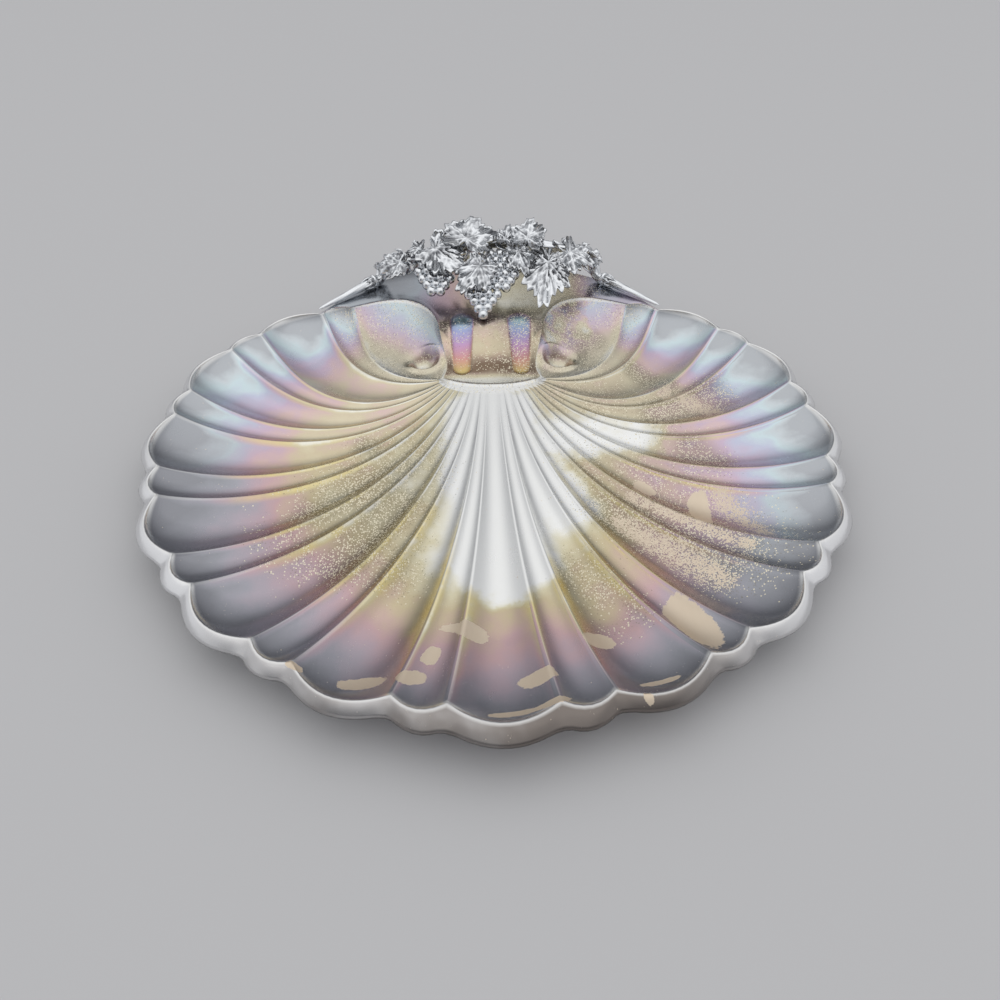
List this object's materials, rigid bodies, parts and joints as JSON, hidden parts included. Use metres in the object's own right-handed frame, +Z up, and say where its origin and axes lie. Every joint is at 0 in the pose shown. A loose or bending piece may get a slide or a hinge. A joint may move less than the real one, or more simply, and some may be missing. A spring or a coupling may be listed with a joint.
{
  "type": "shell platter",
  "caption": "Fluted scallop-shell serving platter of silver-plated sheet on small cast feet, with a cast grapevine handle of bough, leaves and grapes along the hinge.",
  "frame": {"origin": "middle of the footprint on the table, under the dish", "axes": "+Z up, -Y towards the open front lobe, +Y towards the hinge and the vine handle"},
  "size_m": [0.4214, 0.4142, 0.0768],
  "materials": {
    "silver_sheet": "tarnished silver plate",
    "foot_silver": "dull silver plate",
    "vine_silver": "oxidised cast silver plate"
  },
  "bodies": {
    "root": {"shell": "silver_sheet", "foot_front": "foot_silver", "foot_left": "foot_silver", "foot_right": "foot_silver", "stem_left": "vine_silver", "stem_right": "vine_silver", "bough": "vine_silver", "grapes_left": "vine_silver", "grapes_centre": "vine_silver", "leaf_crown": "vine_silver", "leaf_left": "vine_silver", "leaf_centre": "vine_silver", "leaf_right": "vine_silver", "leaf_peak": "vine_silver", "leaf_crest": "vine_silver", "leaf_fold": "vine_silver", "leaf_shoulder": "vine_silver", "leaf_left_end": "vine_silver", "leaf_right_end": "vine_silver"}
  },
  "joints": []
}
